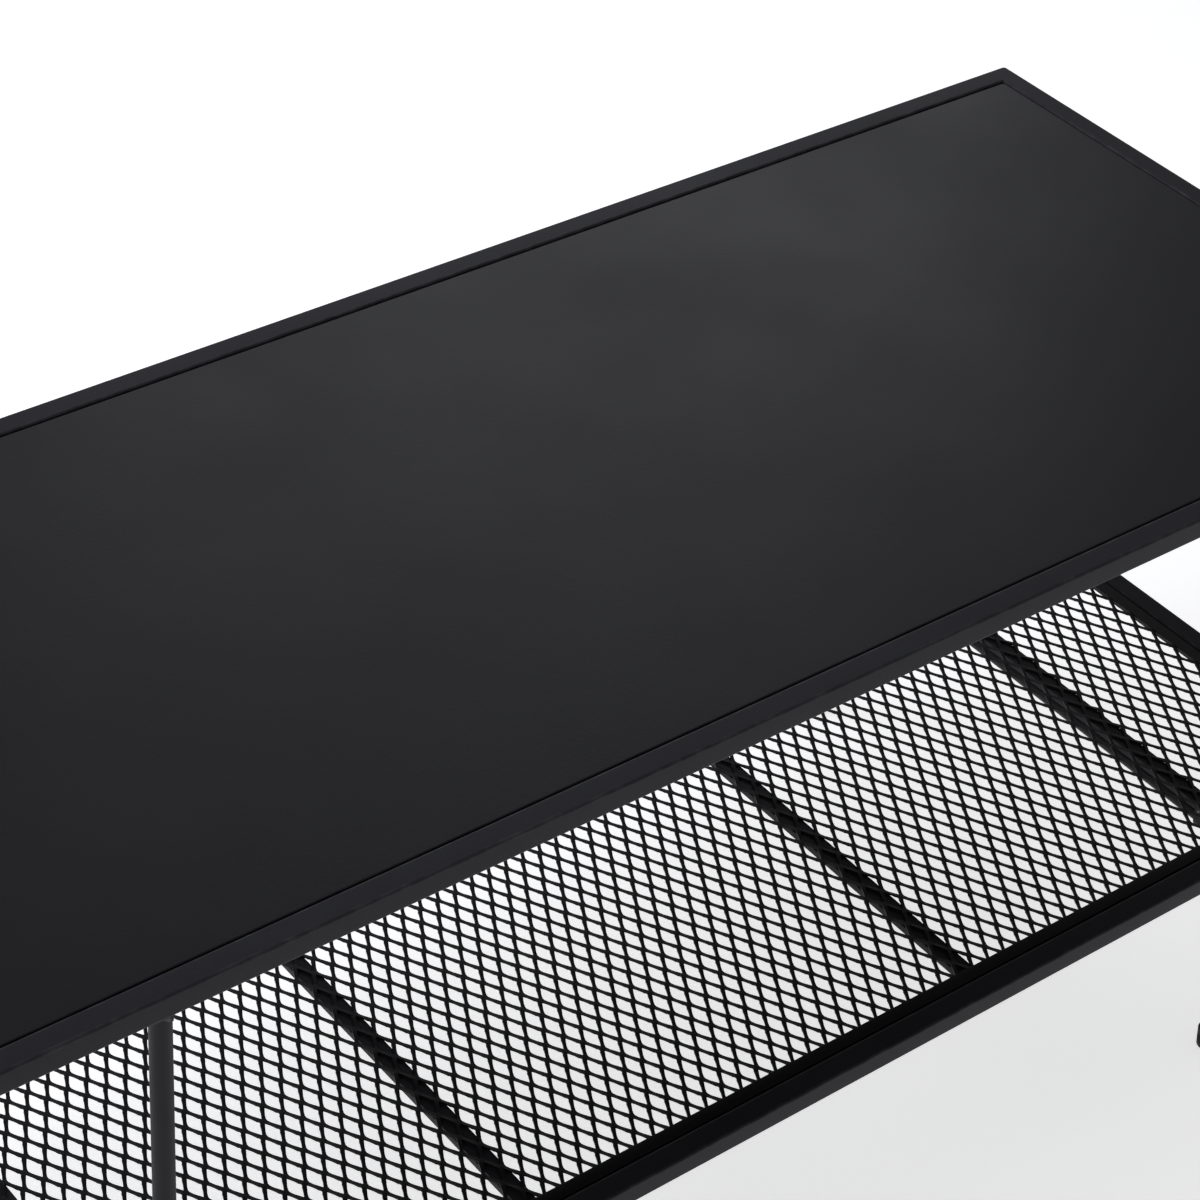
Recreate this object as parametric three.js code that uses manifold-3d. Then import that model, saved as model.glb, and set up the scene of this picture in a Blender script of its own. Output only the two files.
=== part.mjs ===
// Folding side table: two folding racks of black square steel tube, one stacked on the other. The upper rack
// holds a steel panel and the lower one an expanded-mesh shelf. Each rack stands on two bent-tube leg frames,
// which hang from its end bars and fold inward. Millimetres, +Z up. The origin is on the ground under the
// middle of the table: +X runs along its length and -Y is the near side.
import * as THREE from 'three';
import { mergeGeometries, mergeVertices } from 'three/addons/utils/BufferGeometryUtils.js';
import Module from 'manifold-3d';

const wasm = await Module();
wasm.setup();

// Overall size
const LENGTH = 1075;
const DEPTH = 450;
const LOWER_HEIGHT = 195; // from what a rack stands on to the top of its rails
const UPPER_HEIGHT = 320;
const STACK_GAP = 0.4; // running room between the upper feet and the lower rails
const GAP = 0.3; // between pieces that touch
const ROD_SIDES = 16;

// Rails: square tube with a ledge on the inside, mitred at the corners
const TUBE = 15;
const TUBE_WALL = 1.2;
const TUBE_RADIUS = 1.8;
const LEDGE_WIDTH = 8;
const LEDGE_THICK = 1.5;
const LEDGE_DROP = 2.8; // top of the ledge below the top of the rail
const VENT_RADIUS = 2.5;
const VENT_INSET = 40; // galvanising holes, from the end of the rail

// The panel and the mesh insert lie on the ledge inside the rails
const INSERT_GAP = 1.2;
const INSERT_DROP = 0.5; // below the top of the rail
const INSERT_THICK = 2;
const INSERT_CORNER = 3;
const SHEET = 1.2; // thickness of the steel sheet
const HEM_WIDTH = 10;
const BORDER_WIDTH = 9;

// Expanded mesh, four times coarser than the real sheet and with the same open share
const MESH_SHORT = 13.3 * 4;
const MESH_LONG = 21.2 * 4;
const MESH_OPEN = 0.73; // opening's width as a share of the pitch

// Cross bars, from the right end to the middle, mirrored on the left
const BAR_WIDTH = 12.7;
const BAR_HEIGHT = 5;
const END_BAR_X = 411.3;
const MID_BAR_X = 169.4;

// Leg frames: one bent tube each, whose straight top turns directly under the end bar
const LEG_RADIUS = 6;
const LEG_BORE = 4.8;
const LEG_RUN = 180; // half the straight top
const LEG_BEND = 20;
const BEND_STEPS = 5;
const FOOT_Y = 213.2;
const LEAN = 6; // the foot stands outboard of the hinge, so that load holds the leg open

// Foot caps, cut off flat where they stand
const FOOT_RADIUS = 7.5;
const FOOT_HEIGHT = 16;
const FOOT_FLOOR = 4;
const FOOT_CHAMFER = 2.5;
const FOOT_SPARE = 1; // cut off at the bottom

// Hinge straps, each riveted through its end bar
const STRAP_Y = 174.5;
const STRAP_WIDTH = 10;
const STRAP_THICK = 1.5;
const STRAP_DROP = 3.3; // top of the strap below the top of the rail
const RIVET_RADIUS = 1.2;
const RIVET_DROP = 5.4;
const RIVET_HEAD_RADIUS = 2.4;
const RIVET_HEAD = 1.2;

// Leg stops, under the rails and outboard of the legs
const STOP_THICK = 2;
const STOP_DEPTH = 17;
const STOP_INNER = 188;
const STOP_OUTER = 223;
const STOP_FLANGE = 12;
const STOP_CORNER = { y: 205, drop: 5 };

// Foot stops, on the lower rails and outboard of the upper feet
const CURB_THICK = 2;
const CURB_HEIGHT = 8;
const CURB_LONG = 22;
const CURB_SHORT = 12;
const CURB_ROOM = 0.5;

// Worked out from the above
const LOWER_TOP = LOWER_HEIGHT;
const UPPER_TOP = LOWER_TOP + STACK_GAP + UPPER_HEIGHT;
const RAIL_INSIDE = DEPTH / 2 - TUBE;
const HINGE_DROP = LEDGE_DROP + BAR_HEIGHT + GAP + LEG_RADIUS;
const STRAP_BORE = BAR_WIDTH / 2 + GAP;

const paint = (name, color, roughness) =>
  new THREE.MeshStandardMaterial({ name, color, roughness, metalness: 0.3 });
const MATERIAL = {
  panel: paint('panel_paint', '#2e2e30', 0.42),
  rail: paint('rail_paint', '#28282a', 0.45),
  mesh: paint('mesh_paint', '#1c1c1e', 0.5),
  leg: paint('leg_paint', '#28282a', 0.45),
  rubber: new THREE.MeshStandardMaterial({ name: 'rubber', color: '#151515', roughness: 0.85, metalness: 0 }),
  steel: new THREE.MeshStandardMaterial({ name: 'zinc', color: '#8f9296', roughness: 0.35, metalness: 1 }),
};

// A closed three.js geometry as a solid that can be joined and cut
function solid(geometry) {
  const bare = geometry.clone();
  bare.deleteAttribute('normal');
  bare.deleteAttribute('uv');
  const merged = mergeVertices(bare, 1e-4);
  return new wasm.Manifold(new wasm.Mesh({
    numProp: 3,
    vertProperties: new Float32Array(merged.attributes.position.array),
    triVerts: new Uint32Array(merged.index.array),
  }));
}

function geometryOf(body) {
  const mesh = body.getMesh();
  const geometry = new THREE.BufferGeometry();
  geometry.setAttribute('position', new THREE.BufferAttribute(mesh.vertProperties, 3));
  geometry.setIndex(new THREE.BufferAttribute(mesh.triVerts, 1));
  const flat = geometry.toNonIndexed();
  flat.computeVertexNormals();
  return flat;
}

// A box given by its lowest and highest corners, in either order
function box([x0, y0, z0], [x1, y1, z1]) {
  const size = [Math.abs(x1 - x0), Math.abs(y1 - y0), Math.abs(z1 - z0)];
  return new THREE.BoxGeometry(...size).translate((x0 + x1) / 2, (y0 + y1) / 2, (z0 + z1) / 2);
}

function roundedRectangle(x0, y0, x1, y1, radius) {
  const shape = new THREE.Shape();
  shape.absarc(x1 - radius, y1 - radius, radius, 0, Math.PI / 2);
  shape.absarc(x0 + radius, y1 - radius, radius, Math.PI / 2, Math.PI);
  shape.absarc(x0 + radius, y0 + radius, radius, Math.PI, Math.PI * 1.5);
  shape.absarc(x1 - radius, y0 + radius, radius, Math.PI * 1.5, Math.PI * 2);
  shape.closePath();
  return shape;
}

function prism(shape, height, steps = 4) {
  return new THREE.ExtrudeGeometry(shape, { depth: height, bevelEnabled: false, curveSegments: steps });
}

// A prism whose outline lies in the Y-Z plane, centred on x = 0
function prismAlongX(shape, width) {
  return prism(shape, width).translate(0, 0, -width / 2).rotateX(Math.PI / 2).rotateZ(Math.PI / 2);
}

// A prism whose outline lies in the X-Z plane, centred on y = 0
function prismAlongY(shape, width, steps = 4) {
  return prism(shape, width, steps).translate(0, 0, -width / 2).rotateX(Math.PI / 2);
}

function rodAlongY(radius, length) {
  return new THREE.CylinderGeometry(radius, radius, length, ROD_SIDES);
}

// A mitred rectangular ring. The section is drawn outward from the ring's own outer face: x = 0 is that face
// and negative x is inside it. A four-sided lathe makes a square ring, whose corners are then moved apart.
function mitredRing(section, length, depth) {
  const half = DEPTH / 4;
  const points = section.map(([u, z]) => new THREE.Vector2((half + u) * Math.SQRT2, z));
  points.push(points[0].clone());
  const ring = new THREE.LatheGeometry(points, 4, Math.PI / 4).rotateX(Math.PI / 2);
  const position = ring.attributes.position;
  for (let i = 0; i < position.count; i += 1) {
    position.setX(i, position.getX(i) + Math.sign(position.getX(i)) * (length / 2 - half));
    position.setY(i, position.getY(i) + Math.sign(position.getY(i)) * (depth / 2 - half));
  }
  return ring;
}

const sectionOf = (shape, steps) => shape.getPoints(steps).slice(0, -1).map((point) => [point.x, point.y]);

// The rail frame, with its top at z = 0
function railFrame() {
  const tube = sectionOf(roundedRectangle(-TUBE, -TUBE, 0, 0, TUBE_RADIUS), 2);
  const bore = sectionOf(roundedRectangle(
    -TUBE + TUBE_WALL, -TUBE + TUBE_WALL, -TUBE_WALL, -TUBE_WALL, TUBE_RADIUS - TUBE_WALL), 2);
  const ledge = [
    [-TUBE - LEDGE_WIDTH, -LEDGE_DROP - LEDGE_THICK],
    [-TUBE + TUBE_WALL / 2, -LEDGE_DROP - LEDGE_THICK],
    [-TUBE + TUBE_WALL / 2, -LEDGE_DROP],
    [-TUBE - LEDGE_WIDTH, -LEDGE_DROP],
  ];
  const vents = [-1, 1].map((side) => new THREE.CylinderGeometry(VENT_RADIUS, VENT_RADIUS, TUBE, 16)
    .rotateX(Math.PI / 2)
    .translate(side * (LENGTH / 2 - VENT_INSET), side * (DEPTH / 2 - TUBE / 2), -TUBE));
  return geometryOf(solid(mitredRing(tube, LENGTH, DEPTH))
    .add(solid(mitredRing(ledge, LENGTH, DEPTH)))
    .subtract(solid(mitredRing(bore, LENGTH, DEPTH)))
    .subtract(solid(mergeGeometries(vents))));
}

// A rectangle of the insert's outline, shrunk by inset, from z down by thickness
function insertPlate(inset, z, thickness) {
  const x = LENGTH / 2 - TUBE - INSERT_GAP - inset;
  const y = DEPTH / 2 - TUBE - INSERT_GAP - inset;
  return prism(roundedRectangle(-x, -y, x, y, INSERT_CORNER), thickness).translate(0, 0, z - thickness);
}

// A sheet whose edge is folded under
function tablePanel() {
  const hem = solid(insertPlate(0, -INSERT_DROP, INSERT_THICK));
  const underside = solid(insertPlate(HEM_WIDTH, -INSERT_DROP - SHEET, INSERT_THICK));
  return geometryOf(hem.subtract(underside));
}

function diamond(x, y) {
  const halfX = MESH_SHORT * MESH_OPEN / 2;
  const halfY = MESH_LONG * MESH_OPEN / 2;
  const corners = [[halfX, 0], [0, halfY], [-halfX, 0], [0, -halfY]];
  const shape = new THREE.Shape(corners.map(([dx, dy]) => new THREE.Vector2(x + dx, y + dy)));
  return prism(shape, 4 * INSERT_THICK).translate(0, 0, -2 * INSERT_THICK);
}

// Expanded sheet with its long diamonds across the table, in a flat border
function meshInsert() {
  const columns = Math.ceil(LENGTH / MESH_SHORT);
  const rows = Math.ceil(DEPTH / MESH_LONG);
  const openings = [];
  for (let column = -columns; column <= columns; column += 1) {
    for (let row = -rows; row <= rows; row += 1) {
      if ((column + row) % 2 === 0) {
        openings.push(diamond(column * MESH_SHORT / 2, row * MESH_LONG / 2));
      }
    }
  }
  const window = solid(insertPlate(BORDER_WIDTH, INSERT_THICK, 4 * INSERT_THICK));
  const border = solid(insertPlate(0, -INSERT_DROP, INSERT_THICK)).subtract(window);
  const sheet = solid(insertPlate(BORDER_WIDTH / 2, -INSERT_DROP - INSERT_THICK + SHEET, SHEET));
  return geometryOf(border.add(sheet.subtract(solid(mergeGeometries(openings)).intersect(window))));
}

// A cross bar level with the ledge, its ends stepped to pass under it
function crossBar() {
  const top = -LEDGE_DROP;
  const step = top - LEDGE_THICK - GAP;
  const inner = RAIL_INSIDE - LEDGE_WIDTH - GAP;
  const outer = RAIL_INSIDE - GAP;
  const half = [[inner, top], [inner, step], [outer, step], [outer, top - BAR_HEIGHT]];
  const mirrored = half.map(([y, z]) => [-y, z]).reverse();
  const outline = [...mirrored, ...half].map(([y, z]) => new THREE.Vector2(y, z));
  return prismAlongX(new THREE.Shape(outline), BAR_WIDTH);
}

function rivetHole() {
  return rodAlongY(RIVET_RADIUS + GAP, 4 * BAR_WIDTH).rotateZ(Math.PI / 2).translate(0, 0, -RIVET_DROP);
}

// An end bar has a rivet hole for each of its two hinge straps
function endBar() {
  const holes = [-1, 1].map((side) => rivetHole().translate(0, side * STRAP_Y, 0));
  return geometryOf(solid(crossBar()).subtract(solid(mergeGeometries(holes))));
}

// A strap that hangs from both sides of the end bar and passes under the leg tube
function hingeStrap() {
  const outer = STRAP_BORE + STRAP_THICK;
  const stirrup = new THREE.Shape();
  stirrup.moveTo(-outer, -STRAP_DROP);
  stirrup.absarc(0, -HINGE_DROP, outer, Math.PI, Math.PI * 2);
  stirrup.lineTo(outer, -STRAP_DROP);
  stirrup.lineTo(STRAP_BORE, -STRAP_DROP);
  stirrup.absarc(0, -HINGE_DROP, STRAP_BORE, Math.PI * 2, Math.PI, true);
  stirrup.lineTo(-STRAP_BORE, -STRAP_DROP);
  return geometryOf(solid(prismAlongY(stirrup, STRAP_WIDTH, ROD_SIDES / 4)).subtract(solid(rivetHole())));
}

// A rivet along X with a flat-domed head at each end
function strapRivet() {
  const head = STRAP_BORE + STRAP_THICK + GAP;
  const half = [
    [RIVET_RADIUS, head],
    [RIVET_HEAD_RADIUS, head],
    [RIVET_HEAD_RADIUS * 0.6, head + RIVET_HEAD],
    [0, head + RIVET_HEAD],
  ];
  const mirrored = half.map(([r, y]) => [r, -y]).reverse();
  const profile = [...mirrored, ...half].map(([r, y]) => new THREE.Vector2(r, y));
  return new THREE.LatheGeometry(profile, ROD_SIDES).rotateZ(-Math.PI / 2).translate(0, 0, -RIVET_DROP);
}

// The measures of a leg frame that drops by the given height from its hinge to what it stands on
function legMeasures(drop) {
  const reach = Math.hypot(LEAN, drop);
  const across = FOOT_Y - LEG_RUN;
  const down = reach - LEG_BEND;
  const flare = Math.atan2(across, down) - Math.asin(LEG_BEND / Math.hypot(across, down));
  return { drop, reach, flare, lean: Math.atan2(LEAN, drop) };
}

// The middle line of a leg frame as a row of points with their directions, from the near foot to the far foot
class LegLine extends THREE.Curve {
  constructor({ reach, flare }) {
    super();
    const end = reach - FOOT_FLOOR - GAP;
    const half = [{ y: FOOT_Y - (reach - end) * Math.tan(flare), z: -end, turn: flare }];
    for (let i = 0; i <= BEND_STEPS; i += 1) {
      const turn = flare + (Math.PI / 2 - flare) * i / BEND_STEPS;
      half.push({ y: LEG_RUN + LEG_BEND * Math.cos(turn), z: LEG_BEND * (Math.sin(turn) - 1), turn });
    }
    const near = half.map(({ y, z, turn }) => ({
      point: new THREE.Vector3(0, -y, z),
      direction: new THREE.Vector3(0, Math.sin(turn), Math.cos(turn)),
    }));
    const far = half.map(({ y, z, turn }) => ({
      point: new THREE.Vector3(0, y, z),
      direction: new THREE.Vector3(0, Math.sin(turn), -Math.cos(turn)),
    })).reverse();
    this.stations = [...near, ...far];
  }

  get steps() {
    return this.stations.length - 1;
  }

  getPointAt(share, target = new THREE.Vector3()) {
    return target.copy(this.stations[Math.round(share * this.steps)].point);
  }

  getTangentAt(share, target = new THREE.Vector3()) {
    return target.copy(this.stations[Math.round(share * this.steps)].direction);
  }
}

// A leg frame hanging from its hinge line, which is the Y axis
function legFrame(measures) {
  const ring = new THREE.Shape();
  ring.absarc(0, 0, LEG_RADIUS, 0, Math.PI * 2);
  const bore = new THREE.Path();
  bore.absarc(0, 0, LEG_BORE, 0, Math.PI * 2);
  ring.holes.push(bore);
  const line = new LegLine(measures);
  const settings = { extrudePath: line, steps: line.steps, curveSegments: ROD_SIDES / 2 };
  return new THREE.ExtrudeGeometry(ring, settings);
}

// A cap on the end of a leg, cut off flat. Its origin is the hinge; way and side are the signs of its corner.
function footCap({ drop, flare, lean }, way, side) {
  const along = (geometry) => geometry.rotateX(Math.PI / 2 + side * flare).rotateY(-way * lean)
    .translate(way * LEAN, side * FOOT_Y, -drop);
  const profile = [
    [0, -FOOT_SPARE],
    [FOOT_RADIUS - FOOT_CHAMFER, -FOOT_SPARE],
    [FOOT_RADIUS, FOOT_CHAMFER - FOOT_SPARE],
    [FOOT_RADIUS, FOOT_HEIGHT],
    [0, FOOT_HEIGHT],
  ];
  const cap = new THREE.LatheGeometry(profile.map(([r, y]) => new THREE.Vector2(r, y)), ROD_SIDES);
  const socket = rodAlongY(LEG_RADIUS + GAP, 2 * FOOT_HEIGHT).translate(0, FOOT_FLOOR + FOOT_HEIGHT, 0);
  const ground = box([way * LEAN - FOOT_HEIGHT, side * FOOT_Y - FOOT_HEIGHT, -drop],
    [way * LEAN + FOOT_HEIGHT, side * FOOT_Y + FOOT_HEIGHT, -drop - FOOT_HEIGHT]);
  return geometryOf(solid(along(cap)).subtract(solid(along(socket))).subtract(solid(ground)));
}

// An angle under a rail whose web stops the leg. z = 0 is the top of its rack's rails.
function legStop({ drop }, way, side) {
  const top = -TUBE - GAP;
  const face = END_BAR_X + LEG_RADIUS + GAP + LEAN * (TUBE + GAP + STOP_DEPTH - HINGE_DROP) / drop;
  const web = new THREE.Shape([
    [STOP_INNER, top],
    [STOP_INNER, top - STOP_DEPTH],
    [STOP_CORNER.y, top - STOP_DEPTH],
    [STOP_OUTER, top - STOP_CORNER.drop],
    [STOP_OUTER, top],
  ].map(([y, z]) => new THREE.Vector2(side * y, z)));
  const plate = prismAlongX(web, STOP_THICK).translate(way * (face + STOP_THICK / 2), 0, 0);
  const flange = box([way * (face + STOP_THICK / 2), side * (RAIL_INSIDE + GAP), top],
    [way * (face + STOP_FLANGE), side * STOP_OUTER, top - STOP_THICK]);
  return geometryOf(solid(plate).add(solid(flange)));
}

// An L on a lower rail that keeps the upper foot in place. It is open inward, where the foot swings.
function footStop(way, side) {
  const x = END_BAR_X + LEAN + FOOT_RADIUS + CURB_ROOM;
  const y = FOOT_Y + FOOT_RADIUS + CURB_ROOM;
  const low = LOWER_TOP + GAP;
  const high = low + CURB_HEIGHT;
  const alongRail = box([way * (x + CURB_THICK), side * y, low],
    [way * (x + CURB_THICK - CURB_LONG), side * (y + CURB_THICK), high]);
  const acrossRail = box([way * x, side * (y + CURB_THICK), low],
    [way * (x + CURB_THICK), side * (y + CURB_THICK - CURB_SHORT), high]);
  return geometryOf(solid(alongRail).add(solid(acrossRail)));
}

const table = new THREE.Group();

function place(parent, name, geometry, material, x = 0, y = 0, z = 0) {
  const mesh = new THREE.Mesh(geometry, material.clone());
  mesh.name = name;
  mesh.position.set(x, y, z);
  parent.add(mesh);
}

const ENDS = { right: 1, left: -1 };
const SIDES = { near: -1, far: 1 };

// One leg frame and its feet, turned outward about the hinge line
function legs(rackName, end, measures, z) {
  const way = ENDS[end];
  const hinge = new THREE.Group();
  hinge.position.set(way * END_BAR_X, 0, z - HINGE_DROP);
  const leaning = new THREE.Group();
  leaning.rotation.y = -way * measures.lean;
  hinge.add(leaning);
  place(leaning, `${rackName}_leg_frame_${end}`, legFrame(measures), MATERIAL.leg);
  for (const [side, sign] of Object.entries(SIDES)) {
    place(hinge, `${rackName}_foot_${end}_${side}`, footCap(measures, way, sign), MATERIAL.rubber);
  }
  return hinge;
}

function rack(name, z, height) {
  const group = new THREE.Group();
  const measures = legMeasures(height - HINGE_DROP);
  place(group, `${name}_frame`, railFrame(), MATERIAL.rail, 0, 0, z);
  for (const [end, way] of Object.entries(ENDS)) {
    place(group, `${name}_bar_${end}_end`, endBar(), MATERIAL.rail, way * END_BAR_X, 0, z);
    place(group, `${name}_bar_${end}_mid`, crossBar(), MATERIAL.rail, way * MID_BAR_X, 0, z);
    for (const [side, sign] of Object.entries(SIDES)) {
      const strap = [way * END_BAR_X, sign * STRAP_Y, z];
      place(group, `${name}_hinge_strap_${end}_${side}`, hingeStrap(), MATERIAL.rail, ...strap);
      place(group, `${name}_strap_rivet_${end}_${side}`, strapRivet(), MATERIAL.steel, ...strap);
      place(group, `${name}_leg_stop_${end}_${side}`, legStop(measures, way, sign), MATERIAL.rail, 0, 0, z);
    }
    group.add(legs(name, end, measures, z));
  }
  return group;
}

table.add(rack('lower', LOWER_TOP, LOWER_HEIGHT));
table.add(rack('upper', UPPER_TOP, UPPER_HEIGHT));
place(table, 'table_panel', tablePanel(), MATERIAL.panel, 0, 0, UPPER_TOP);
place(table, 'mesh_insert', meshInsert(), MATERIAL.mesh, 0, 0, LOWER_TOP);
for (const [end, way] of Object.entries(ENDS)) {
  for (const [side, sign] of Object.entries(SIDES)) {
    place(table, `foot_stop_${end}_${side}`, footStop(way, sign), MATERIAL.rail);
  }
}

export default table;
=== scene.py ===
"""The looks of the folding side table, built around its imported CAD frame. Metres, +Z up, -Y is the near side.

Every size that the CAD settles is read back from the frame's boxes. The rest is fine detail: rounded edges,
welds, the strands of the expanded mesh, finishes, light and camera.
"""
import math

import bmesh
import bpy
import numpy as np
from mathutils import Matrix, Vector

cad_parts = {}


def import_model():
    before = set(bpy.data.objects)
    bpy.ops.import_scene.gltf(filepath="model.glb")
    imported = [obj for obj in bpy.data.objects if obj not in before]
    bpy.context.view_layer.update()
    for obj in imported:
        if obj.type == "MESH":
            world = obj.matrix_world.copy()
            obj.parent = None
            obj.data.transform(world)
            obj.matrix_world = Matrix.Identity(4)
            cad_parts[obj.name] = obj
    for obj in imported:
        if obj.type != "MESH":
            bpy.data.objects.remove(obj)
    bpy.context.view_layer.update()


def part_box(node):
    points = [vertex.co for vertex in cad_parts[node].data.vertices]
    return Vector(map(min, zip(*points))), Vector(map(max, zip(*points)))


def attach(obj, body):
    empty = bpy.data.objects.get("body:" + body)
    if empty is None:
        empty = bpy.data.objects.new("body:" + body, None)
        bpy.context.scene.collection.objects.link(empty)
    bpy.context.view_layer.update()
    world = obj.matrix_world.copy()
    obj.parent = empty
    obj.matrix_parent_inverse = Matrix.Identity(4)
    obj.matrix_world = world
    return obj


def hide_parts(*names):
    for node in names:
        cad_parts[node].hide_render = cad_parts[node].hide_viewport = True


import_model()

MM = 0.001
ENDS = {"right": 1, "left": -1}
SIDES = {"near": -1, "far": 1}
RACKS = ("lower", "upper")

# Places and sizes from the frame
FRAME_LOW, FRAME_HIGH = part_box("upper_frame")
LENGTH = FRAME_HIGH.x - FRAME_LOW.x
DEPTH = FRAME_HIGH.y - FRAME_LOW.y
RACK_TOP = {rack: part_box(f"{rack}_frame")[1].z for rack in RACKS}
TUBE = RACK_TOP["upper"] - FRAME_LOW.z
PANEL_LOW, PANEL_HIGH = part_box("table_panel")
SHEET_LOW, SHEET_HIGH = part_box("mesh_insert")

# The CAD's own sizes, where its boxes don't show them
CONTACT_GAP = 0.3 * MM
TUBE_RADIUS = 1.8 * MM
LEDGE_WIDTH = 8 * MM
LEDGE_THICK = 1.5 * MM
LEDGE_DROP = 2.8 * MM
STRAP_THICK = 1.5 * MM
PLATE_THICK = 2 * MM
LEG_RADIUS = 6 * MM
LEG_RUN = 180 * MM
LEG_BEND = 20 * MM
LEG_LEAN = 6 * MM
FOOT_Y = 213.2 * MM
FOOT_RADIUS = 7.5 * MM
FOOT_HEIGHT = 16 * MM
FOOT_FLOOR = 4 * MM

# Panel: it lies loose in its frame, a little nearer its near rail
PANEL_SHIFT = -0.4 * MM
PANEL_SHEET = 1.2 * MM
PANEL_HEM = 10 * MM
PANEL_BEND = 0.99 * MM
INSERT_CORNER = 3 * MM

# Expanded mesh
MESH_PITCH = 13.3 * MM
MESH_ROW = 21.2 * MM
STRAND_WIDTH = 2.4 * MM
STRAND_THICK = 1.0 * MM
STRAND_TILT = math.radians(-10)
BOND_LENGTH = 3.4 * MM
CREST_CURVE = 0.9  # how far a strand's curves reach, as shares of its swing
TROUGH_CURVE = 0.35
SHEET_DROP = 0.3 * MM  # of its middle below the border's middle
BORDER_WIDTH = 9 * MM
BORDER_BEND = 0.6 * MM


# ---------------------------------------------------------------- materials

COAT_BLUE = 1.14  # the powder coat is a slightly blue black


class Nodes:
    """A short way to write a node material: each call adds a node and returns its output."""

    def __init__(self, name):
        self.material = bpy.data.materials.new(name)
        self.material.use_nodes = True
        self.tree = self.material.node_tree
        self.shader = self.tree.nodes["Principled BSDF"]
        self.place = self.add("ShaderNodeTexCoord").outputs["Object"]

    def add(self, kind, inputs=None, **settings):
        node = self.tree.nodes.new(kind)
        for key, value in settings.items():
            setattr(node, key, value)
        for key, value in (inputs or {}).items():
            self.plug(node, key, value)
        return node

    def plug(self, node, key, value):
        if isinstance(value, bpy.types.NodeSocket):
            self.tree.links.new(value, node.inputs[key])
        else:
            node.inputs[key].default_value = value

    def noise(self, scale, detail=4, roughness=0.55, place=None):
        node = self.add("ShaderNodeTexNoise", {"Vector": place or self.place, "Scale": scale,
                                               "Detail": detail, "Roughness": roughness})
        return node.outputs["Fac"]

    def remap(self, value, low, high, to_low, to_high):
        node = self.add("ShaderNodeMapRange", {"Value": value, "From Min": low, "From Max": high,
                                               "To Min": to_low, "To Max": to_high})
        return node.outputs["Result"]

    def math(self, operation, a, b):
        return self.add("ShaderNodeMath", {0: a, 1: b}, operation=operation).outputs[0]

    def mix(self, share, a, b):
        node = self.add("ShaderNodeMix", data_type="RGBA")
        self.plug(node, 0, share)
        self.plug(node, 6, a)
        self.plug(node, 7, b)
        return node.outputs[2]

    def edge_wear_and_highlight(self):
        """1 on the rounded edges of a piece, broken up by noise: the mask for edge wear and for painted edge
        highlights.
        """
        edge = self.add("ShaderNodeAttribute", attribute_name="edge").outputs["Fac"]
        return self.math("MULTIPLY", edge, self.remap(self.noise(90), 0.45, 0.75, 0.15, 1.0))

    def bump(self, *layers):
        """Each layer is (height, distance in metres)."""
        normal = None
        for height, distance in layers:
            inputs = {"Height": height, "Distance": distance, "Strength": 1.0}
            if normal is not None:
                inputs["Normal"] = normal
            normal = self.add("ShaderNodeBump", inputs).outputs["Normal"]
        self.plug(self.shader, "Normal", normal)

    def finish(self, color, roughness, **constants):
        self.plug(self.shader, "Base Color", color)
        self.plug(self.shader, "Roughness", roughness)
        for key, value in constants.items():
            self.shader.inputs[key.replace("_", " ")].default_value = value
        return self.material


def grey(value, blue=1.0):
    return (value, value, value * blue, 1.0)


def powder_coat(name, dark, light, rough, shine, texture=1.0):
    """Powder coat on steel: fine orange peel, faint mottling, dust, and a painted highlight that makes the
    rounded edges a little lighter.
    """
    n = Nodes(name)
    mottle = n.remap(n.noise(14, 3), 0.35, 0.65, 0.0, 1.0)
    speck = n.remap(n.noise(900, 2), 0.62, 0.75, 0.0, 0.35)
    color = n.mix(mottle, grey(dark, COAT_BLUE), grey(light, COAT_BLUE))
    color = n.mix(speck, color, grey(light * 1.8, 1.1))
    edge_highlight = n.edge_wear_and_highlight()
    # Painted highlight: the rounded edges are painted lighter, as if they caught the light, and made a little
    # glossier.
    color = n.mix(n.math("MULTIPLY", edge_highlight, 0.5), color, grey(light * 3.2, 1.04))
    cloud = n.remap(n.noise(6, 5), 0.3, 0.7, rough - 0.04, rough + 0.05)
    roughness = n.math("SUBTRACT", cloud, n.math("MULTIPLY", edge_highlight, 0.08))
    n.bump((n.noise(420, 2), 0.00006 * texture), (n.noise(1500, 3), 0.000025 * texture))
    return n.finish(color, roughness, Metallic=0.0, Specular_IOR_Level=shine)


def rubber_material():
    n = Nodes("rubber")
    dust = n.remap(n.noise(60, 5), 0.5, 0.8, 0.0, 0.5)
    color = n.mix(dust, grey(0.012), grey(0.05))
    n.bump((n.noise(700, 3), 0.00012), (n.noise(120, 2), 0.0001))
    return n.finish(color, n.remap(n.noise(200), 0.3, 0.7, 0.72, 0.9), Metallic=0.0)


def blackened_steel():
    n = Nodes("zinc")
    patch = n.remap(n.noise(260, 4), 0.4, 0.7, 0.0, 1.0)
    color = n.mix(patch, grey(0.05, 1.03), grey(0.12, 1.02))
    color = n.mix(n.edge_wear_and_highlight(), color, grey(0.3))
    n.bump((n.noise(900, 3), 0.00005))
    return n.finish(color, n.remap(patch, 0, 1, 0.34, 0.5), Metallic=1.0)


MATERIALS = {
    "panel_paint": powder_coat("panel_paint", 0.0056, 0.0068, 0.40, 0.24, 0.8),
    "rail_paint": powder_coat("rail_paint", 0.0190, 0.0215, 0.42, 0.08),
    "mesh_paint": powder_coat("mesh_paint", 0.0040, 0.0055, 0.48, 0.16),
    "leg_paint": powder_coat("leg_paint", 0.0160, 0.0190, 0.42, 0.10),
    "rubber": rubber_material(),
    "zinc": blackened_steel(),
}


# ---------------------------------------------------------------- shapes

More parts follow.
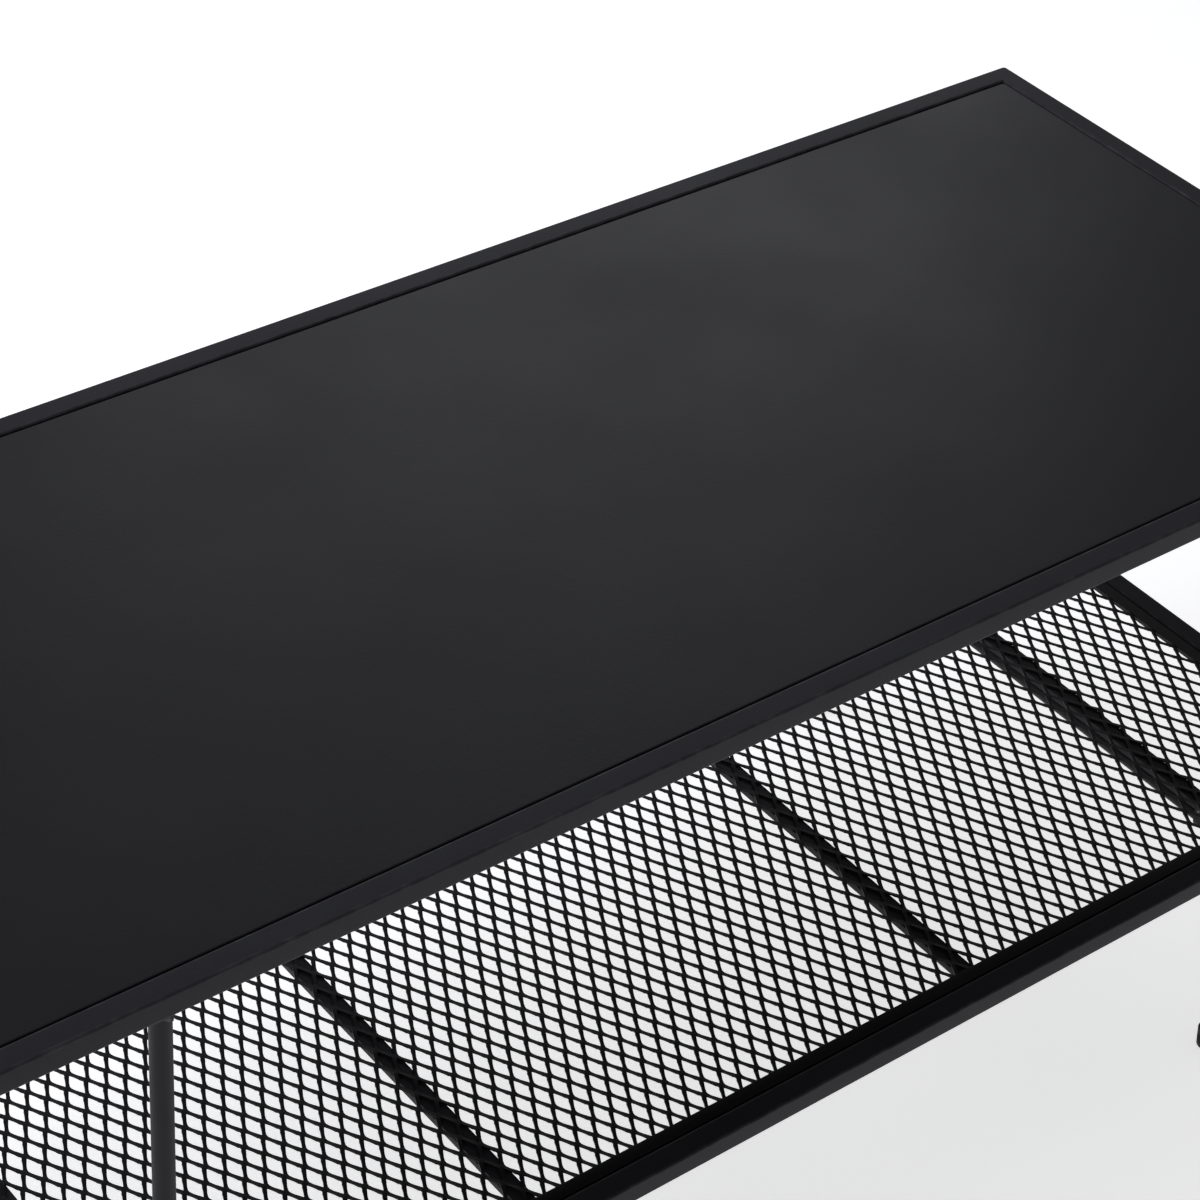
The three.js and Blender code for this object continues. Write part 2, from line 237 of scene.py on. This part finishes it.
def flatten_normals(mesh, sharp):
    """Normals weighted by area, so that a flat face stays flat right up to its rounded edges."""
    around = [[] for _ in mesh.vertices]
    faces = [(face.normal.copy(), face.area, tuple(face.vertices)) for face in mesh.polygons]
    for normal, area, corners in faces:
        for corner in corners:
            around[corner].append((normal, normal * area))
    limit = math.cos(math.radians(sharp))
    normals = []
    for normal, _, corners in faces:
        for corner in corners:
            near = [weighted for other, weighted in around[corner] if other.dot(normal) > limit]
            normals.append(sum(near, Vector()).normalized())
    mesh.normals_split_custom_set(normals)


def finished(name, bm, body, slot, *nodes, sharp=35, flat=True):
    """A piece from a bmesh, with its smooth shading, finish and body, standing for the CAD nodes."""
    bmesh.ops.recalc_face_normals(bm, faces=bm.faces)
    mesh = bpy.data.meshes.new(name)
    bm.to_mesh(mesh)
    bm.free()
    piece = bpy.data.objects.new(name, mesh)
    bpy.context.scene.collection.objects.link(piece)
    mesh.shade_smooth()
    mesh.set_sharp_from_angle(angle=math.radians(sharp))
    if flat:
        flatten_normals(mesh, sharp)
    mesh.materials.append(MATERIALS[slot])
    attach(piece, body)
    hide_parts(*nodes)


def edge_layer(bm):
    return bm.faces.layers.float.get("edge") or bm.faces.layers.float.new("edge")


def bevelled(bm, width, segments=2, angle=25):
    """Rounds every edge sharper than the angle and marks the new faces as edges."""
    layer = edge_layer(bm)
    edges = [e for e in bm.edges if len(e.link_faces) == 2 and e.calc_face_angle(0) > math.radians(angle)]
    made = bmesh.ops.bevel(bm, geom=edges, offset=width, segments=segments, profile=0.5,
                           affect="EDGES", clamp_overlap=True)
    for face in made["faces"]:
        face[layer] = 1.0
    return bm


def extruded(outline, depth):
    """A bmesh prism of a closed outline in X-Y, from z = 0 up by depth."""
    bm = bmesh.new()
    bm.faces.new([bm.verts.new((x, y, 0)) for x, y in outline])
    grown = bmesh.ops.extrude_face_region(bm, geom=list(bm.faces), use_keep_orig=True)
    raised = [g for g in grown["geom"] if isinstance(g, bmesh.types.BMVert)]
    bmesh.ops.translate(bm, verts=raised, vec=(0, 0, depth))
    bmesh.ops.recalc_face_normals(bm, faces=bm.faces)
    return bm


def arc(x, y, radius, start, stop, count):
    """Points on an arc about (x, y), with its angles in degrees."""
    return [(x + radius * math.cos(a), y + radius * math.sin(a))
            for a in np.radians(np.linspace(start, stop, count))]


def rounded_square(low, high, radius, count=5):
    """The outline of a square section with rounded corners."""
    inset, reach = low + radius, high - radius
    return (arc(reach, reach, radius, 0, 90, count) + arc(inset, reach, radius, 90, 180, count)
            + arc(inset, inset, radius, 180, 270, count) + arc(reach, inset, radius, 270, 360, count))


def ring_around(bm, section, half_x, half_y, corner=0.0, steps=6):
    """A section (outward, up) swept round a rectangle, with corners of the given radius at outward = 0.

    Its sloping faces are the rounded edges, and are marked as such.
    """
    layer = edge_layer(bm)
    stations = []
    for sx, sy, start in ((1, 1, 0), (-1, 1, 90), (-1, -1, 180), (1, -1, 270)):
        for angle in np.radians(np.linspace(start, start + 90, steps)):
            stations.append((sx, sy, math.cos(angle), math.sin(angle)))
    loops = []
    for sx, sy, c, s in stations:
        loop = []
        for u, z in section:
            radius = max(corner + u, 0.0)
            inset = corner if corner + u > 0 else -u
            x = sx * (half_x - inset) + radius * c
            y = sy * (half_y - inset) + radius * s
            loop.append(bm.verts.new((x, y, z)))
        loops.append(loop)
    count = len(section)
    slopes = []
    for (u0, z0), (u1, z1) in zip(section, section[1:] + section[:1]):
        slopes.append(abs(math.atan2(z1 - z0, u1 - u0)) % (math.pi / 2))
    for a, b in zip(loops, loops[1:] + loops[:1]):
        for i in range(count):
            j = (i + 1) % count
            face = bm.faces.new((a[i], a[j], b[j], b[i]))
            face[layer] = 1.0 if 0.1 < slopes[i] < 1.47 else 0.0
    bmesh.ops.remove_doubles(bm, verts=bm.verts, dist=1e-6)
    return bm


def box_mesh(low, high):
    bm = bmesh.new()
    made = bmesh.ops.create_cube(bm, size=1.0)
    size = Vector(high) - Vector(low)
    middle = (Vector(high) + Vector(low)) / 2
    place = Matrix.Translation(middle) @ Matrix.Diagonal((*size, 1))
    bmesh.ops.transform(bm, matrix=place, verts=made["verts"])
    return bm


def turned(profile, count=32):
    """A body of revolution about Z from (radius, height) points that start and end on the axis."""
    bm = bmesh.new()
    rings = []
    for r, z in profile:
        if r < 1e-7:
            rings.append([bm.verts.new((0, 0, z))])
        else:
            rings.append([bm.verts.new((r * math.cos(a), r * math.sin(a), z))
                          for a in np.linspace(0, 2 * math.pi, count, endpoint=False)])
    for a, b in zip(rings, rings[1:]):
        for i in range(count):
            j = (i + 1) % count
            corners = [a[i % len(a)], a[j % len(a)], b[j % len(b)], b[i % len(b)]]
            bm.faces.new(list(dict.fromkeys(corners)))
    bmesh.ops.recalc_face_normals(bm, faces=bm.faces)
    return bm


def joined(*parts):
    """One bmesh holding several, each of which is used up."""
    whole = bmesh.new()
    edge_layer(whole)
    for part in parts:
        edge_layer(part)
        mesh = bpy.data.meshes.new("part")
        part.to_mesh(mesh)
        part.free()
        whole.from_mesh(mesh)
        bpy.data.meshes.remove(mesh)
    return whole


def moved(bm, matrix):
    bmesh.ops.transform(bm, matrix=matrix, verts=bm.verts)
    if matrix.determinant() < 0:
        bmesh.ops.reverse_faces(bm, faces=bm.faces)
    return bm


def weld(start, stop, radius, seed):
    """A short weld bead between two points: a row of overlapping ripples."""
    rng = np.random.default_rng(seed)
    start, stop = Vector(start), Vector(stop)
    along = stop - start
    count = max(3, round(along.length / (radius * 0.9)))
    turn = along.to_track_quat("Z", "X").to_matrix().to_4x4()
    profile = [(0.0, -radius * 0.6)]
    for i in range(count * 4 + 1):
        swell = 0.86 + 0.14 * abs(math.sin(i * math.pi / 4)) + rng.uniform(-0.03, 0.03)
        taper = min(1.0, 0.55 + 0.45 * min(i, count * 4 - i) / 3)
        profile.append((radius * swell * taper, along.length * i / (count * 4)))
    profile.append((0.0, along.length + radius * 0.6))
    return moved(turned(profile, 14), Matrix.Translation(start) @ turn)


# ---------------------------------------------------------------- rails, panel and mesh

def rail_frame(rack):
    """Mitred square tube with an inner ledge, and a weld bead down each inside corner below it."""
    top = RACK_TOP[rack]
    tube = rounded_square(-TUBE, 0, TUBE_RADIUS)
    bm = ring_around(bmesh.new(), [(u, z + top) for u, z in tube], LENGTH / 2, DEPTH / 2, TUBE_RADIUS * 1.6)
    lip, root = 0.5 * MM, 1 * MM
    low = top - LEDGE_DROP - LEDGE_THICK
    high = low + LEDGE_THICK
    reach = -TUBE - LEDGE_WIDTH
    ledge = [(-TUBE + root, low), (-TUBE + root, high), (reach + lip, high)]
    ledge += [(reach, high - lip), (reach, low + lip), (reach + lip, low)]
    shelf = ring_around(bmesh.new(), ledge, LENGTH / 2, DEPTH / 2, 0.0, 2)
    beads = []
    for sx in (-1, 1):
        for sy in (-1, 1):
            corner = (sx * (LENGTH / 2 - TUBE), sy * (DEPTH / 2 - TUBE))
            upper, lower = (*corner, low - 1 * MM), (*corner, top - TUBE + 1.5 * MM)
            beads.append(weld(upper, lower, 1.1 * MM, 4 + 3 * sx + sy))
    finished(f"{rack}_rails", joined(bm, shelf, *beads), f"{rack}_rack", "rail_paint", f"{rack}_frame")


def table_panel():
    """Sheet steel with rounded edges and corners, folded under into a hem."""
    half_x, half_y = PANEL_HIGH.x, PANEL_HIGH.y
    top, low = PANEL_HIGH.z, PANEL_LOW.z
    hem, bend = PANEL_HEM, PANEL_BEND
    section = [(-hem, low), (-bend, low)]
    section += arc(-bend, low + bend, bend, -90, 0, 5)[1:] + arc(-bend, top - bend, bend, 0, 90, 6)
    section += [(-hem, top), (-hem, top - PANEL_SHEET)]
    bm = ring_around(bmesh.new(), section, half_x, half_y, INSERT_CORNER, 8)
    near = 1e-6
    rim = [v for v in bm.verts
           if abs(abs(v.co.x) - half_x + hem) < near and abs(abs(v.co.y) - half_y + hem) < near]
    skins = [[v for v in rim if abs(v.co.z - z) < near] for z in (top, top - PANEL_SHEET)]
    wall = [f for f in bm.faces if all(v in skins[0] + skins[1] for v in f.verts)]
    bmesh.ops.delete(bm, geom=wall, context="FACES_ONLY")
    for skin in skins:
        bm.faces.new(sorted(skin, key=lambda v: math.atan2(v.co.y, v.co.x)))
    bm = moved(bm, Matrix.Translation((0, PANEL_SHIFT, 0)))
    finished("panel_sheet", bm, "upper_rack", "panel_paint", "table_panel")


def expanded_sheet():
    """Expanded metal: strands along Y that zigzag between their bonds with the strands on each side.

    Every strand is a little tilted. Its left edge turns on a wide curve where it reaches the next strand,
    and its right edge on a small one where it comes back, which gives the openings their leaf shape.
    """
    half_x, half_y = SHEET_HIGH.x - BORDER_WIDTH * 0.6, SHEET_HIGH.y - BORDER_WIDTH * 0.6
    middle = (SHEET_HIGH.z + SHEET_LOW.z) / 2 - SHEET_DROP
    row_step = MESH_PITCH / 2
    strips = int(half_x / row_step)
    across = np.array([math.cos(STRAND_TILT), math.sin(STRAND_TILT)])
    normal = np.array([-math.sin(STRAND_TILT), math.cos(STRAND_TILT)])
    shift_x = (row_step - STRAND_WIDTH * across[0]) / 2
    shift_z = STRAND_WIDTH * across[1] / 2
    bond = BOND_LENGTH / MESH_ROW
    # Where a strand has points, as shares of its period: closest where its curves are
    half = [0.0, bond / 4, bond / 2, bond / 2 + 0.03, bond / 2 + 0.07, 0.2, 0.26, 0.31, 0.35, 0.385]
    half += [0.5 - bond / 2, 0.5 - bond / 4]
    phases = np.array(half + [0.5] + [1 - p for p in reversed(half[1:])])
    folded = np.minimum(phases, 1 - phases)
    ramp = (folded - bond / 2) / (0.5 - bond)
    crest = np.clip(ramp - np.maximum(CREST_CURVE - np.abs(1 - ramp), 0) ** 2 / (4 * CREST_CURVE), 0, 1)
    trough = np.clip(ramp + np.maximum(TROUGH_CURVE - np.abs(ramp), 0) ** 2 / (4 * TROUGH_CURVE), 0, 1)
    trough[folded < 1e-9] = 0.0
    periods = int(half_y * 2 / MESH_ROW) + 2
    y = (np.arange(periods)[:, None] + phases[None, :]).ravel() * MESH_ROW
    left_bond = np.tile(folded < bond / 2 + 1e-6, periods)
    right_bond = np.tile(folded > 0.5 - bond / 2 - 1e-6, periods)
    swings = {-1: np.tile(np.where(left_bond[:len(phases)], 0.0, crest), periods),
              1: np.tile(np.where(right_bond[:len(phases)], 1.0, trough), periods)}
    vertices, faces, total = [], [], 0
    for k in range(-strips, strips):
        ys = y - periods * MESH_ROW / 2 + (MESH_ROW / 2 if k % 2 else 0)
        keep = np.abs(ys) <= half_y
        yk = ys[keep]
        corners = []
        for s, n in ((-1, 1), (1, 1), (1, -1), (-1, -1)):
            wave = 2 * swings[s][keep] - 1
            x = (k + 0.5) * row_step + wave * shift_x
            z = middle - wave * shift_z
            dx = s * STRAND_WIDTH / 2 * across[0] + n * STRAND_THICK / 2 * normal[0]
            dz = s * STRAND_WIDTH / 2 * across[1] + n * STRAND_THICK / 2 * normal[1]
            corners.append(np.stack([x + dx, yk, z + dz], 1))
        count = len(yk)
        vertices.append(np.stack(corners, 1).reshape(-1, 3))
        left = left_bond[keep] & (k > -strips)
        right = right_bond[keep] & (k < strips - 1)
        for i in range(count - 1):
            a, b = total + 4 * i, total + 4 * (i + 1)
            faces.append((a, a + 1, b + 1, b))
            faces.append((a + 2, a + 3, b + 3, b + 2))
            if not (right[i] and right[i + 1]):
                faces.append((a + 1, a + 2, b + 2, b + 1))
            if not (left[i] and left[i + 1]):
                faces.append((a + 3, a, b, b + 3))
        last = total + 4 * (count - 1)
        faces.append((total + 3, total + 2, total + 1, total))
        faces.append((last, last + 1, last + 2, last + 3))
        total += 4 * count
    mesh = bpy.data.meshes.new("strands")
    mesh.from_pydata(np.concatenate(vertices).tolist(), [], faces)
    bm = bmesh.new()
    edge_layer(bm)
    bm.from_mesh(mesh)
    bpy.data.meshes.remove(mesh)
    bmesh.ops.remove_doubles(bm, verts=bm.verts, dist=2e-6)
    return bm


def mesh_insert():
    """The expanded sheet with its edges held in a flat folded border."""
    top, low = SHEET_HIGH.z, SHEET_LOW.z
    bend = BORDER_BEND
    section = [(-BORDER_WIDTH + bend, low)] + arc(-bend, low + bend, bend, -90, 0, 4)
    section += arc(-bend, top - bend, bend, 0, 90, 4)
    section += arc(-BORDER_WIDTH + bend, top - bend, bend, 90, 180, 4)
    section += [(-BORDER_WIDTH, low + bend)]
    border = ring_around(bmesh.new(), section, SHEET_HIGH.x, SHEET_HIGH.y, INSERT_CORNER, 7)
    finished("mesh_sheet", joined(expanded_sheet(), border), "lower_rack", "mesh_paint", "mesh_insert",
             sharp=40, flat=False)


# ---------------------------------------------------------------- bars, straps and stops

def cross_bar(rack, end, place):
    """A flat bar with eased edges, stepped at its ends to pass under the ledge, and tacked to it."""
    node = f"{rack}_bar_{end}_{place}"
    low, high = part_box(node)
    x = (low.x + high.x) / 2
    width = high.x - low.x
    step = high.z - LEDGE_THICK - CONTACT_GAP
    inner = DEPTH / 2 - TUBE - LEDGE_WIDTH - CONTACT_GAP
    half = [(inner, high.z), (inner, step), (high.y, step), (high.y, low.z)]
    outline = [(-y, z) for y, z in reversed(half)] + half
    bm = bevelled(extruded(outline, width), 0.7 * MM, 2)
    to_world = Matrix(((0, 0, 1, x - width / 2), (1, 0, 0, 0), (0, 1, 0, 0), (0, 0, 0, 1)))
    bm = moved(bm, to_world)
    beads = []
    for side in SIDES.values():
        for way in (-1, 1):
            at = x + way * (width / 2)
            ledge = high.z - LEDGE_THICK - 0.1 * MM
            start, stop = (at, side * (inner + 1.5 * MM), ledge), (at, side * (inner + 6 * MM), ledge)
            beads.append(weld(start, stop, 0.9 * MM, 3 + 2 * way + side))
    finished(f"{node}_bar", joined(bm, *beads), f"{rack}_rack", "rail_paint", node)


def hinge_strap(rack, end, side):
    """A bent strip that hangs from both sides of the end bar and passes under the leg tube."""
    node = f"{rack}_hinge_strap_{end}_{side}"
    low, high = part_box(node)
    outer = (high.x - low.x) / 2
    inner = outer - STRAP_THICK
    x, hinge = (low.x + high.x) / 2, low.z + outer
    outline = [(-outer, high.z)] + arc(0, hinge, outer, 180, 360, 21) + [(outer, high.z), (inner, high.z)]
    outline += arc(0, hinge, inner, 360, 180, 21) + [(-inner, high.z)]
    width = high.y - low.y
    bm = bevelled(extruded(outline, width), 0.35 * MM, 2, 40)
    to_world = Matrix(((1, 0, 0, x), (0, 0, 1, low.y), (0, 1, 0, 0), (0, 0, 0, 1)))
    finished(f"{node}_strip", moved(bm, to_world), f"{rack}_rack", "rail_paint", node)


def strap_rivet(rack, end, side):
    """A rivet across the strap with a domed head at each end."""
    node = f"{rack}_strap_rivet_{end}_{side}"
    low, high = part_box(node)
    centre = (low + high) / 2
    half = (high.x - low.x) / 2
    head = (high.z - low.z) / 2
    rise, rim, buried = 1.2 * MM, 0.25 * MM, 2 * MM
    base = half - rise
    dome = [(head * math.cos(a), base + rim + (rise - rim) * math.sin(a))
            for a in np.radians(np.linspace(0, 90, 8))]
    dome[-1] = (0.0, half)
    neck = [(0.0, base - buried), (head * 0.5, base - buried), (head * 0.5, base)]
    profile = neck + [(head * 0.97, base)] + dome
    right = moved(turned(profile, 28), Matrix.Rotation(math.pi / 2, 4, "Y"))
    left = moved(turned(profile, 28), Matrix.Rotation(-math.pi / 2, 4, "Y"))
    shank = [(0.0, MM - base), (head * 0.48, MM - base), (head * 0.48, base - MM), (0.0, base - MM)]
    core = moved(turned(shank, 28), Matrix.Rotation(math.pi / 2, 4, "Y"))
    bm = moved(joined(right, left, core), Matrix.Translation(centre))
    finished(f"{node}_rivet", bm, f"{rack}_rack", "zinc", node)


def leg_stop(rack, end, side):
    """An angle of plate under the rail, with eased edges and a weld along its flange."""
    node = f"{rack}_leg_stop_{end}_{side}"
    way, sign = ENDS[end], SIDES[side]
    low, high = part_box(node)
    face = low.x if way > 0 else -high.x
    reach = high.x if way > 0 else -low.x
    inner = min(abs(low.y), abs(high.y))
    outer = max(abs(low.y), abs(high.y))
    thick, corner, drop, ease = PLATE_THICK, 205 * MM, 5 * MM, 3 * MM
    web = [(inner, high.z), (outer, high.z), (outer, high.z - drop), (corner, low.z)]
    web += [(inner + ease, low.z), (inner, low.z + ease)]
    plate = extruded(web, thick)
    plate = moved(plate, Matrix(((0, 0, 1, face), (1, 0, 0, 0), (0, 1, 0, 0), (0, 0, 0, 1))))
    rail = DEPTH / 2 - TUBE + CONTACT_GAP
    flange = box_mesh((face + thick * 0.5, rail, high.z - thick), (reach, outer, high.z))
    plate = bevelled(plate, 0.5 * MM, 2)
    flange = bevelled(flange, 0.5 * MM, 2)
    seam = rail + 0.2 * MM
    bead = weld((face + 4 * MM, seam, high.z), (reach - 1 * MM, seam, high.z), 0.8 * MM, 7)
    bm = moved(joined(plate, flange, bead), Matrix.Diagonal((way, sign, 1, 1)))
    finished(f"{node}_plate", bm, f"{rack}_rack", "rail_paint", node)


def foot_stop(end, side):
    """An L on the lower rail, with a rounded bend, that keeps the upper foot in place."""
    node = f"foot_stop_{end}_{side}"
    way, sign = ENDS[end], SIDES[side]
    low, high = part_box(node)
    x0, x1 = sorted((abs(low.x), abs(high.x)))
    y0, y1 = sorted((abs(low.y), abs(high.y)))
    thick, bend = PLATE_THICK, 3 * MM
    outline = [(x0, y1), (x0, y1 - thick)] + arc(x1 - bend, y1 - bend, bend - thick, 90, 0, 5)
    outline += [(x1 - thick, y0), (x1, y0)] + arc(x1 - bend, y1 - bend, bend, 0, 90, 8)
    bm = moved(extruded(outline, high.z - low.z), Matrix.Translation((0, 0, low.z)))
    bm = moved(bevelled(bm, 0.5 * MM, 2, 50), Matrix.Diagonal((way, sign, 1, 1)))
    finished(f"{node}_angle", bm, "lower_rack", "rail_paint", node)


# ---------------------------------------------------------------- legs

class Leg:
    """The measures of a leg frame, from its CAD nodes."""

    def __init__(self, rack, end):
        self.rack, self.end, self.way = rack, end, ENDS[end]
        self.node = f"{rack}_leg_frame_{end}"
        bar_low, bar_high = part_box(f"{rack}_bar_{end}_end")
        self.hinge = Vector(((bar_low.x + bar_high.x) / 2, 0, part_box(self.node)[1].z - LEG_RADIUS))
        self.drop = self.hinge.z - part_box(f"{rack}_foot_{end}_far")[0].z
        self.reach = math.hypot(LEG_LEAN, self.drop)
        across, down = FOOT_Y - LEG_RUN, self.reach - LEG_BEND
        self.flare = math.atan2(across, down) - math.asin(LEG_BEND / math.hypot(across, down))
        self.turn = Matrix.Rotation(-self.way * math.atan2(LEG_LEAN, self.drop), 4, "Y")

    def stations(self):
        """Points and directions along the middle line, in the plane of the leg frame."""
        tip = FOOT_FLOOR + CONTACT_GAP
        foot = (FOOT_Y - tip * math.tan(self.flare), tip - self.reach)
        bend = [(LEG_RUN + LEG_BEND * math.cos(turn), LEG_BEND * (math.sin(turn) - 1), turn)
                for turn in np.linspace(self.flare, math.pi / 2, 15)]
        across, up = bend[0][0] - foot[0], bend[0][1] - foot[1]
        half = [(foot[0] + share * across, foot[1] + share * up, self.flare)
                for share in (0.0, 0.33, 0.67)] + bend
        near = [(Vector((0, -y, z)), Vector((0, math.sin(t), math.cos(t)))) for y, z, t in half]
        far = [(Vector((0, y, z)), Vector((0, math.sin(t), -math.cos(t)))) for y, z, t in reversed(half)]
        return near + far

    def placed(self, bm):
        return moved(bm, Matrix.Translation(self.hinge) @ self.turn)


def leg_frame(rack, end):
    """One bent round tube, its ends closed and eased inside the rubber caps."""
    leg = Leg(rack, end)
    bm = bmesh.new()
    layer = edge_layer(bm)
    side = Vector((1, 0, 0))
    (start, first), *_, (stop, last) = middle = leg.stations()
    ease = 0.8 * MM
    stations = [(start, first, LEG_RADIUS - ease), (start + first * ease, first, LEG_RADIUS)]
    stations += [(point, direction, LEG_RADIUS) for point, direction in middle[1:-1]]
    stations += [(stop - last * ease, last, LEG_RADIUS), (stop, last, LEG_RADIUS - ease)]
    count = 36
    rings = []
    for point, direction, radius in stations:
        up = direction.cross(side)
        rings.append([bm.verts.new(point + radius * (math.cos(a) * side + math.sin(a) * up))
                      for a in np.linspace(0, 2 * math.pi, count, endpoint=False)])
    for k, (a, b) in enumerate(zip(rings, rings[1:])):
        for i in range(count):
            face = bm.faces.new((a[i], a[(i + 1) % count], b[(i + 1) % count], b[i]))
            face[layer] = 1.0 if k in (0, len(rings) - 2) else 0.0
    bm.faces.new(rings[0])
    bm.faces.new(list(reversed(rings[-1])))
    finished(f"{leg.node}_tube", leg.placed(bm), f"{rack}_legs_{end}", "leg_paint", leg.node)


def foot_cap(rack, end, side):
    """A rubber cap with grip rings and a lip round the tube, rubbed flat where it stands."""
    leg = Leg(rack, end)
    sign = SIDES[side]
    node = f"{rack}_foot_{end}_{side}"
    toe, depth, half = 2.5 * MM, 0.45 * MM, 0.35 * MM
    bore = LEG_RADIUS + 0.12 * MM
    profile = [(0.0, -MM), (FOOT_RADIUS - toe, -MM)]
    profile += [(FOOT_RADIUS - toe + toe * math.sin(a), toe - MM - toe * math.cos(a))
                for a in np.radians(np.linspace(15, 75, 5))]
    for groove in (5.5 * MM, 8.0 * MM, 10.5 * MM):
        profile += [(FOOT_RADIUS, groove - 2 * half), (FOOT_RADIUS - depth, groove - half),
                    (FOOT_RADIUS - depth, groove + half), (FOOT_RADIUS, groove + 2 * half)]
    profile += [(FOOT_RADIUS, FOOT_HEIGHT - 1.2 * MM), (FOOT_RADIUS - 0.35 * MM, FOOT_HEIGHT - 0.3 * MM),
                (FOOT_RADIUS - 0.9 * MM, FOOT_HEIGHT), (bore, FOOT_HEIGHT), (bore, FOOT_FLOOR),
                (0.0, FOOT_FLOOR)]
    foot = Vector((leg.hinge.x + leg.way * LEG_LEAN, sign * FOOT_Y, leg.hinge.z - leg.drop))
    tilt = leg.turn @ Matrix.Rotation(sign * leg.flare, 4, "X")
    cap = moved(turned(profile, 40), Matrix.Translation(foot) @ tilt)
    cut = bmesh.ops.bisect_plane(cap, geom=[*cap.verts, *cap.edges, *cap.faces],
                                 plane_co=foot, plane_no=(0, 0, -1), clear_outer=True)
    rim = [g for g in cut["geom_cut"] if isinstance(g, bmesh.types.BMEdge)]
    bmesh.ops.contextual_create(cap, geom=rim)
    finished(f"{node}_cap", cap, f"{rack}_legs_{end}", "rubber", node, sharp=50)


# ---------------------------------------------------------------- the table

for rack in RACKS:
    rail_frame(rack)
    for end in ENDS:
        for place in ("end", "mid"):
            cross_bar(rack, end, place)
        leg_frame(rack, end)
        for side in SIDES:
            hinge_strap(rack, end, side)
            strap_rivet(rack, end, side)
            leg_stop(rack, end, side)
            foot_cap(rack, end, side)
table_panel()
mesh_insert()
for end in ENDS:
    for side in SIDES:
        foot_stop(end, side)


# ---------------------------------------------------------------- floor, light and camera

def floor():
    bm = bmesh.new()
    bmesh.ops.create_grid(bm, x_segments=1, y_segments=1, size=30)
    mesh = bpy.data.meshes.new("floor")
    bm.to_mesh(mesh)
    bm.free()
    plane = bpy.data.objects.new("floor", mesh)
    bpy.context.scene.collection.objects.link(plane)
    n = Nodes("floor")
    color = n.mix(n.remap(n.noise(3, 3), 0.3, 0.7, 0, 1), grey(0.75), grey(0.77))
    n.bump((n.noise(300, 3), 0.00005))
    n.plug(n.shader, "Emission Color", grey(1.0))
    n.plug(n.shader, "Emission Strength", 0.65)
    mesh.materials.append(n.finish(color, n.remap(n.noise(20), 0.3, 0.7, 0.62, 0.7)))


def area_light(name, place, target, size, power):
    light = bpy.data.lights.new(name, "AREA")
    light.shape = "RECTANGLE"
    light.size, light.size_y = size
    light.energy = power
    light.color = (0.925, 0.935, 1.0)
    lamp = bpy.data.objects.new(name, light)
    lamp.location = place
    lamp.rotation_euler = (Vector(target) - Vector(place)).to_track_quat("-Z", "Y").to_euler()
    bpy.context.scene.collection.objects.link(lamp)


def world(horizon, overhead):
    """Pale at the horizon, where it meets the floor, and dim overhead."""
    studio = bpy.data.worlds.new("studio")
    studio.use_nodes = True
    tree = studio.node_tree
    background = tree.nodes["Background"]
    background.inputs["Color"].default_value = (0.97, 0.98, 1.0, 1.0)
    split = tree.nodes.new("ShaderNodeSeparateXYZ")
    fade = tree.nodes.new("ShaderNodeMapRange")
    fade.interpolation_type = "SMOOTHSTEP"
    for key, value in (("From Min", 0.02), ("From Max", 0.3), ("To Min", horizon), ("To Max", overhead)):
        fade.inputs[key].default_value = value
    tree.links.new(tree.nodes.new("ShaderNodeTexCoord").outputs["Generated"], split.inputs[0])
    tree.links.new(split.outputs["Z"], fade.inputs["Value"])
    tree.links.new(fade.outputs["Result"], background.inputs["Strength"])
    bpy.context.scene.world = studio


def camera():
    """Above the near left of the table, looking down along it."""
    data = bpy.data.cameras.new("camera")
    data.sensor_width = 36
    data.lens = 103.97
    data.clip_end = 50
    item = bpy.data.objects.new("camera", data)
    across = Vector((0.78799, -0.61189, 0.06833)).normalized()
    back = Vector((-0.51711, -0.59749, 0.61286)).normalized()
    up = back.cross(across).normalized()
    across = up.cross(back)
    turn = Matrix((across, up, back)).transposed().to_4x4()
    item.matrix_world = Matrix.Translation((-1.04056, -1.22258, RACK_TOP["upper"] + 1.15504)) @ turn
    bpy.context.scene.collection.objects.link(item)
    bpy.context.scene.camera = item


floor()
world(0.8, 0.16)
area_light("overhead", (-1.6, 0.9, 2.4), (0, 0, 0.4), (2.2, 2.2), 60)
area_light("glow", (1.1, 1.5, 1.45), (0.12, 0.1, 0.5), (1.3, 0.8), 4.3)
camera()
bpy.context.scene.view_settings.view_transform = "Standard"
